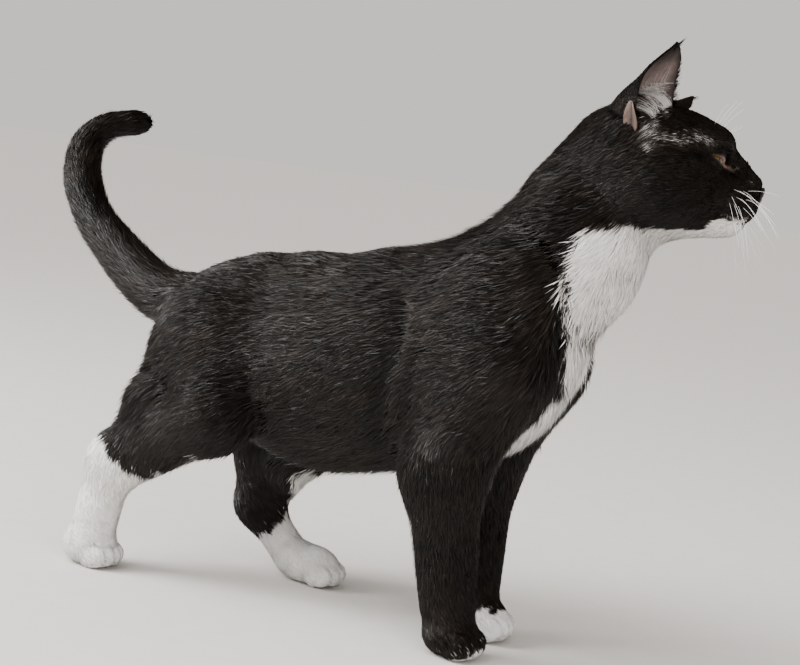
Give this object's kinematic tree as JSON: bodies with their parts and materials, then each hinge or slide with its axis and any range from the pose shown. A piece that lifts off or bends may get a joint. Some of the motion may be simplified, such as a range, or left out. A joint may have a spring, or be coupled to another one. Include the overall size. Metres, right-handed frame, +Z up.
{
  "type": "young domestic cat",
  "caption": "Life-size still model of a young black-and-white shorthair cat, standing with its tail curled up and its head turned.",
  "frame": {"origin": "on the floor under the middle of the cat's bounding box", "axes": "+X towards the head end, +Y to the cat's left, +Z up"},
  "size_m": [0.4174, 0.1106, 0.3102],
  "materials": {
    "coat_black": "short glossy black coat",
    "coat_white": "short soft white coat",
    "ear_skin": "thin dark-edged skin, pinkish grey inside",
    "nose_leather": "fine-grained black leather",
    "eye": "wet, clear over an amber iris"
  },
  "bodies": {
    "root": {"head": "coat_black", "nose": "nose_leather", "neck": "coat_black", "trunk": "coat_black", "tail_base": "coat_black", "tail_middle": "coat_black", "tail_tip": "coat_black", "right_foreleg": "coat_black", "left_foreleg": "coat_black", "right_hindleg": "coat_black", "left_hindleg": "coat_black", "right_forepaw": "coat_black", "left_forepaw": "coat_white", "right_hindfoot": "coat_white", "left_hindfoot": "coat_white", "right_ear": "ear_skin", "left_ear": "ear_skin", "right_eye": "eye", "left_eye": "eye"}
  },
  "joints": []
}
